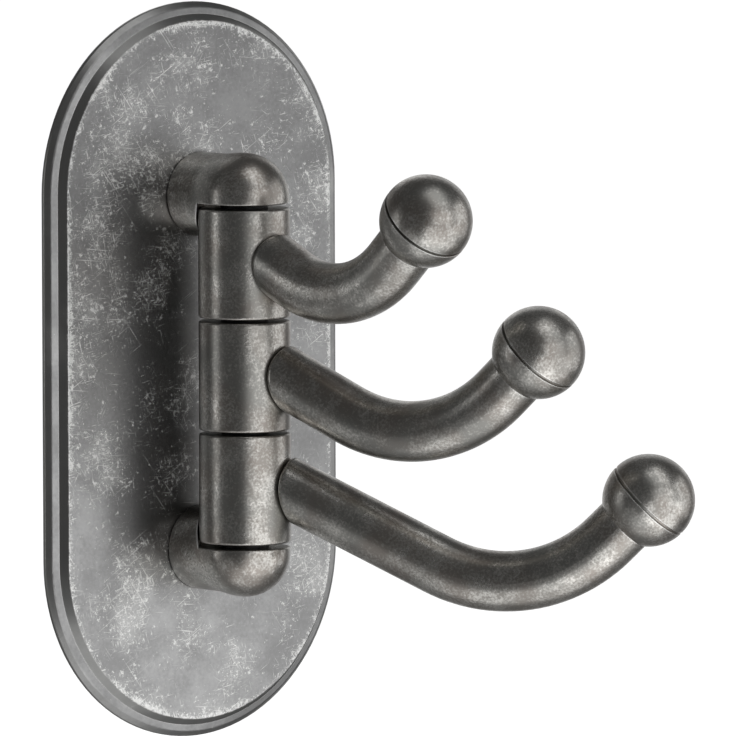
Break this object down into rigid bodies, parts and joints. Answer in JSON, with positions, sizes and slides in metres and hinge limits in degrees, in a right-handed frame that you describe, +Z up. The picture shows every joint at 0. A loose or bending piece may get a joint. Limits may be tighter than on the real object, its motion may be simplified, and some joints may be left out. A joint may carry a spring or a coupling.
{
  "type": "swivel wall hook",
  "caption": "Wall hook with an obround backplate and ball-tipped hooks that each swivel on a shared upright pin.",
  "frame": {"origin": "on the wall plane, behind the middle of the backplate", "axes": "+Z up along the backplate's long side, +Y into the wall, +X to the right of a person facing the wall"},
  "size_m": [0.0844, 0.0782, 0.127],
  "materials": {
    "aged_pewter_plate": "cast zinc, plated and relieved to an aged pewter grey, with fine pale scuffs",
    "aged_pewter": "tumbled zinc, plated and darkened to aged pewter, satin with a fine pale mottle",
    "zinc_plated_steel": "bright zinc-plated pressed and turned steel",
    "bright_steel": "centreless-ground steel pin",
    "black_nylon": "moulded black nylon"
  },
  "bodies": {
    "mount": {"backplate": "aged_pewter_plate", "wall_bracket": "zinc_plated_steel", "upper_post": "aged_pewter", "lower_post": "aged_pewter", "upper_post_screw": "zinc_plated_steel", "lower_post_screw": "zinc_plated_steel", "pivot_pin": "bright_steel", "top_washer": "black_nylon", "upper_gap_washer": "black_nylon", "lower_gap_washer": "black_nylon", "bottom_washer": "black_nylon"},
    "upper_hook": {"upper_barrel": "aged_pewter", "upper_rod": "aged_pewter", "upper_ball": "aged_pewter"},
    "middle_hook": {"middle_barrel": "aged_pewter", "middle_rod": "aged_pewter", "middle_ball": "aged_pewter"},
    "lower_hook": {"lower_barrel": "aged_pewter", "lower_rod": "aged_pewter", "lower_ball": "aged_pewter"}
  },
  "joints": [
    {"name": "upper_swivel", "type": "hinge", "parent": "mount", "child": "upper_hook", "pos_m": [0, -0.0157, 0], "axis": [0, 0, 1], "range_deg": [-96.3, 83.7]},
    {"name": "middle_swivel", "type": "hinge", "parent": "mount", "child": "middle_hook", "pos_m": [0, -0.0157, 0], "axis": [0, 0, 1], "range_deg": [-114, 66]},
    {"name": "lower_swivel", "type": "hinge", "parent": "mount", "child": "lower_hook", "pos_m": [0, -0.0157, 0], "axis": [0, 0, 1], "range_deg": [-129.2, 50.8]}
  ]
}
